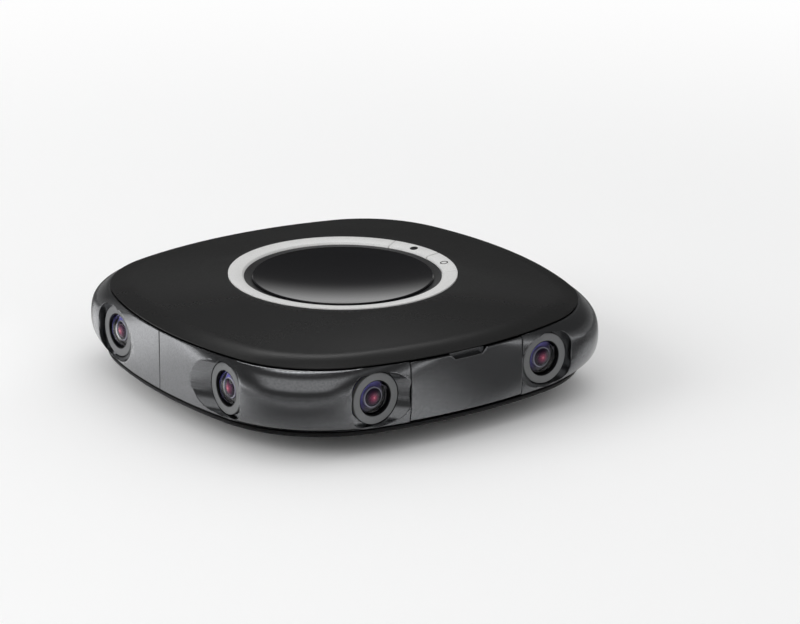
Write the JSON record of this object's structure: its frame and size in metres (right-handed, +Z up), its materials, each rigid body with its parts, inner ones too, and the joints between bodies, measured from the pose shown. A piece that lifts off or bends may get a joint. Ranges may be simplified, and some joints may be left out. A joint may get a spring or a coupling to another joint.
{
  "type": "360 degree camera",
  "caption": "Low rounded-square panoramic camera with paired wide lenses in a glossy side band, a silver button ring round a dished top, a hinged port door and a tripod thread below",
  "frame": {"origin": "on the surface the camera stands on, under the middle of its body", "axes": "+Z up through the button ring, -Y out through the port door, +X to the right of the door"},
  "size_m": [0.12, 0.12, 0.03],
  "materials": {
    "soft_touch_cover": "soft-touch paint, near black",
    "band_lacquer": "moulded, gunmetal metallic lacquer",
    "ring_silver": "bead blasted and clear anodised, satin",
    "bezel_grey": "grey anodised, matte",
    "dish_gloss": "smoked acrylic, polished",
    "surround_dark": "fine texture",
    "lens_glass": "coated optical glass",
    "black_plastic": "black ABS",
    "silicone_black": "silicone seal",
    "steel": "stainless steel",
    "insert_brass": "turned, nickel plated",
    "foot_rubber": "matte rubber",
    "screw_black": "black oxide steel",
    "board_green": "solder resist on glass epoxy",
    "chip_black": "moulded epoxy",
    "chassis_magnesium": "die cast",
    "battery_wrap": "laminated foil",
    "sensor_die": "silicon under cover glass"
  },
  "bodies": {
    "housing": {"back_corner_band": "band_lacquer", "battery": "battery_wrap", "battery_bracket": "steel", "board_screws": "screw_black", "bottom_cover": "black_plastic", "button_board": "board_green", "button_switches": "chip_black", "card_socket": "steel", "centre_dish": "dish_gloss", "chassis": "chassis_magnesium", "chips": "chip_black", "cover_screws": "screw_black", "door_hinge_pin": "steel", "front_corner_band": "band_lacquer", "front_element_1": "lens_glass", "front_element_2": "lens_glass", "front_element_3": "lens_glass", "front_element_4": "lens_glass", "front_element_5": "lens_glass", "front_element_6": "lens_glass", "front_element_7": "lens_glass", "front_element_8": "lens_glass", "heat_spreader": "chassis_magnesium", "image_sensors": "sensor_die", "inner_elements": "lens_glass", "left_corner_band": "band_lacquer", "lens_barrel_1": "black_plastic", "lens_barrel_2": "black_plastic", "lens_barrel_3": "black_plastic", "lens_barrel_4": "black_plastic", "lens_barrel_5": "black_plastic", "lens_barrel_6": "black_plastic", "lens_barrel_7": "black_plastic", "lens_barrel_8": "black_plastic", "lens_bezel_1": "bezel_grey", "lens_bezel_2": "bezel_grey", "lens_bezel_3": "bezel_grey", "lens_bezel_4": "bezel_grey", "lens_bezel_5": "bezel_grey", "lens_bezel_6": "bezel_grey", "lens_bezel_7": "bezel_grey", "lens_bezel_8": "bezel_grey", "main_board": "board_green", "microphones": "chip_black", "port_board": "board_green", "port_frame": "black_plastic", "right_corner_band": "band_lacquer", "ring_surround": "surround_dark", "rubber_feet": "foot_rubber", "sensor_boards": "board_green", "top_cover": "soft_touch_cover", "trim_ring": "ring_silver", "tripod_insert": "insert_brass", "usb_socket": "steel", "wifi_antenna": "board_green"},
    "door": {"port_door": "band_lacquer", "door_seal": "silicone_black"},
    "power": {"power_button": "ring_silver"},
    "record": {"record_button": "ring_silver"}
  },
  "joints": [
    {"name": "port_door_hinge", "type": "hinge", "parent": "housing", "child": "door", "pos_m": [0, -0.05855, 0.00935], "axis": [1, 0, 0], "range_deg": [0, 90]},
    {"name": "power_button_press", "type": "slide", "parent": "housing", "child": "power", "axis": [0, 0, -1], "range_m": [0, 0.0003], "stiffness_N_per_m": 1000},
    {"name": "record_button_press", "type": "slide", "parent": "housing", "child": "record", "axis": [0, 0, -1], "range_m": [0, 0.0003], "stiffness_N_per_m": 1000}
  ]
}
